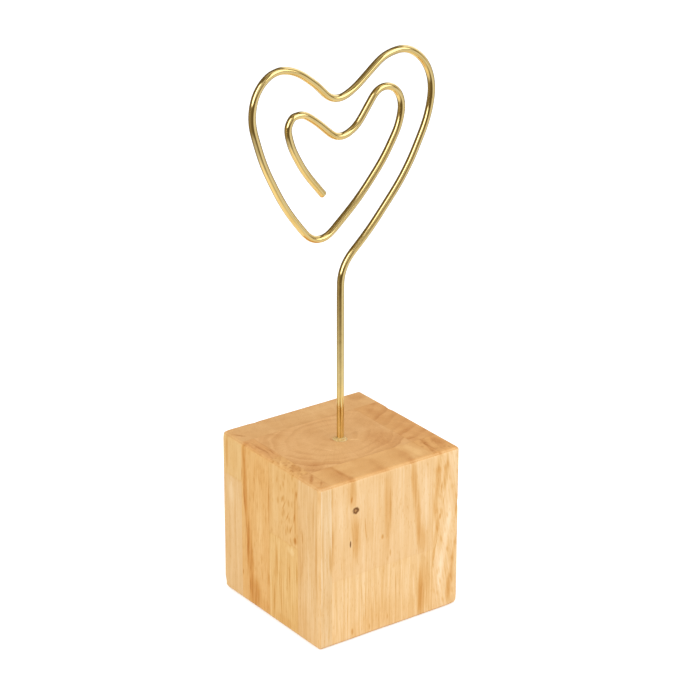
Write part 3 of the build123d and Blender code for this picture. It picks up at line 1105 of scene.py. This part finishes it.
def make_floor():
    mesh = bpy.data.meshes.new("floor")
    half = FLOOR_SIZE / 2
    corners = [(-half, -half, 0), (half, -half, 0), (half, half, 0), (-half, half, 0)]
    mesh.from_pydata(corners, [], [(0, 1, 2, 3)])
    floor = bpy.data.objects.new("floor", mesh)
    floor.location.z = cad_low.z - FLOOR_GAP
    bpy.context.scene.collection.objects.link(floor)
    g = Graph(bpy.data.materials.new("paper_sweep"))
    path = g.node("ShaderNodeLightPath")
    paper = g.node("ShaderNodeBsdfDiffuse", Color=PAPER)
    glow = g.node("ShaderNodeEmission", Color=WHITE)
    g.feed(glow.inputs["Strength"], g.times(path.outputs["Is Camera Ray"], CAMERA_GLOW))
    both = g.node("ShaderNodeAddShader")
    g.feed(both.inputs[0], paper.outputs[0])
    g.feed(both.inputs[1], glow.outputs[0])
    # In the brass, the paper shows near the block and gives way to the room further out.
    distance = g.vector("LENGTH", g.node("ShaderNodeTexCoord").outputs["Object"])
    tint = g.blend(g.step(distance, NEAR_START, NEAR_END), NEAR_TINT, WHITE)
    fall = g.step(distance, NEAR_START, NEAR_END, NEAR_GLOW, FAR_GLOW)
    near = g.node("ShaderNodeEmission", Color=tint, Strength=fall)
    share = g.step(distance, ROOM_START, ROOM_END, 0.9, 0.0)
    mirrored = g.mix(share, g.node("ShaderNodeBsdfTransparent"), near)
    mesh.materials.append(g.finish(g.mix(path.outputs["Is Glossy Ray"], both, mirrored)))


def area_light(name, azimuth, elevation, distance, width, height, brightness):
    """A soft box that faces the middle of the object. Its brightness is its radiance."""
    turn, lift = math.radians(azimuth), math.radians(elevation)
    away = Vector((math.sin(turn) * math.cos(lift), -math.cos(turn) * math.cos(lift), math.sin(lift)))
    data = bpy.data.lights.new(name, "AREA")
    data.shape = "RECTANGLE"
    data.size = width
    data.size_y = height
    data.energy = brightness * math.pi * width * height
    box = bpy.data.objects.new(name, data)
    aim = (cad_low + cad_high) / 2
    box.location = aim + away * distance
    box.rotation_euler = away.to_track_quat("Z", "Y").to_euler()
    box.visible_camera = False
    box.visible_glossy = False
    bpy.context.scene.collection.objects.link(box)


# What the brass mirrors, as soft-edged panels: azimuth, elevation, half width, half height and softness
# in degrees, and how much brighter than the surroundings.
SURROUNDINGS = 0.165
WARM = (1.05, 0.84, 0.46, 1)
PANELS = [
    (-70, 27, 20, 23, 4, 2.40),
    (28, 29, 22, 24, 4, 2.50),
    (-22, 30, 16, 22, 6, 0.55),
    (74, 20, 12, 28, 5, 0.70),
    (112, 24, 22, 24, 6, 1.10),
    (48, -24, 46, 17, 12, 0.60),
    (-125, -20, 40, 18, 12, 0.18),
    (40, 66, 26, 7, 5, 0.60),
    (0, -70, 181, 19, 4, 0.90),
    (0, 80, 181, 12, 6, 0.30),
]


def make_world():
    """White behind the object, even light on it, and a dim room with white panels for the brass to mirror."""
    world = bpy.data.worlds.new("studio")
    bpy.context.scene.world = world
    g = Graph(world)
    x, y, z = g.split(g.node("ShaderNodeTexCoord").outputs["Generated"])
    azimuth = g.math("DEGREES", g.math("ARCTAN2", x, g.times(y, -1.0)))
    elevation = g.math("DEGREES", g.math("ARCSINE", z))
    levels = [SURROUNDINGS]
    for turn, lift, half_width, half_height, soft, level in PANELS:
        aside = g.apart(azimuth, turn)
        above = g.apart(elevation, lift)
        panel = g.times(g.step(aside, half_width + soft, half_width - soft),
                       g.step(above, half_height + soft, half_height - soft))
        levels.append(g.times(panel, level))
    level = g.total(levels)
    mirrored = g.node("ShaderNodeBackground", Color=g.blend(g.step(level, 0.1, 0.8), WARM, WHITE))
    g.feed(mirrored.inputs["Strength"], level)
    lighting = g.node("ShaderNodeBackground", Color=WHITE, Strength=LIGHTING)
    seen = g.node("ShaderNodeBackground", Color=WHITE)
    path = g.node("ShaderNodeLightPath")
    glossy = g.mix(path.outputs["Is Glossy Ray"], lighting, mirrored)
    g.finish(g.mix(path.outputs["Is Camera Ray"], glossy, seen), "ShaderNodeOutputWorld")
    world.cycles.sampling_method = "NONE"


CAMERA_AZIMUTH = -36.0
CAMERA_ELEVATION = 23.07
CAMERA_DISTANCE = 0.8003
CAMERA_ROLL = 0.144
# The point looked at: so far to the right of and above the origin, as the camera sees it.
LOOK_RIGHT = 2.75 * MM
LOOK_UP = 72.71 * MM
CAMERA_LENS = 138.3
CAMERA_SENSOR = 36.0


def make_camera():
    turn, lift = math.radians(CAMERA_AZIMUTH), math.radians(CAMERA_ELEVATION)
    back = Vector((math.sin(turn) * math.cos(lift), -math.cos(turn) * math.cos(lift), math.sin(lift)))
    right = Vector((math.cos(turn), math.sin(turn), 0))
    up = back.cross(right)
    data = bpy.data.cameras.new("camera")
    data.lens = CAMERA_LENS
    data.sensor_width = CAMERA_SENSOR
    camera = bpy.data.objects.new("camera", data)
    bpy.context.scene.collection.objects.link(camera)
    facing = Matrix((right, up, back)).transposed() @ Matrix.Rotation(math.radians(CAMERA_ROLL), 3, "Z")
    camera.matrix_world = Matrix.LocRotScale(right * LOOK_RIGHT + up * LOOK_UP + back * CAMERA_DISTANCE,
                                             facing.to_quaternion(), None)
    bpy.context.scene.camera = camera


make_floor()
make_world()
area_light("right_box", 25, 25, 1.1, 1.0, 1.2, 0.93)
area_light("left_box", -70, 22, 1.1, 1.05, 1.2, 1.07)
make_camera()
bpy.context.scene.view_settings.view_transform = "Standard"
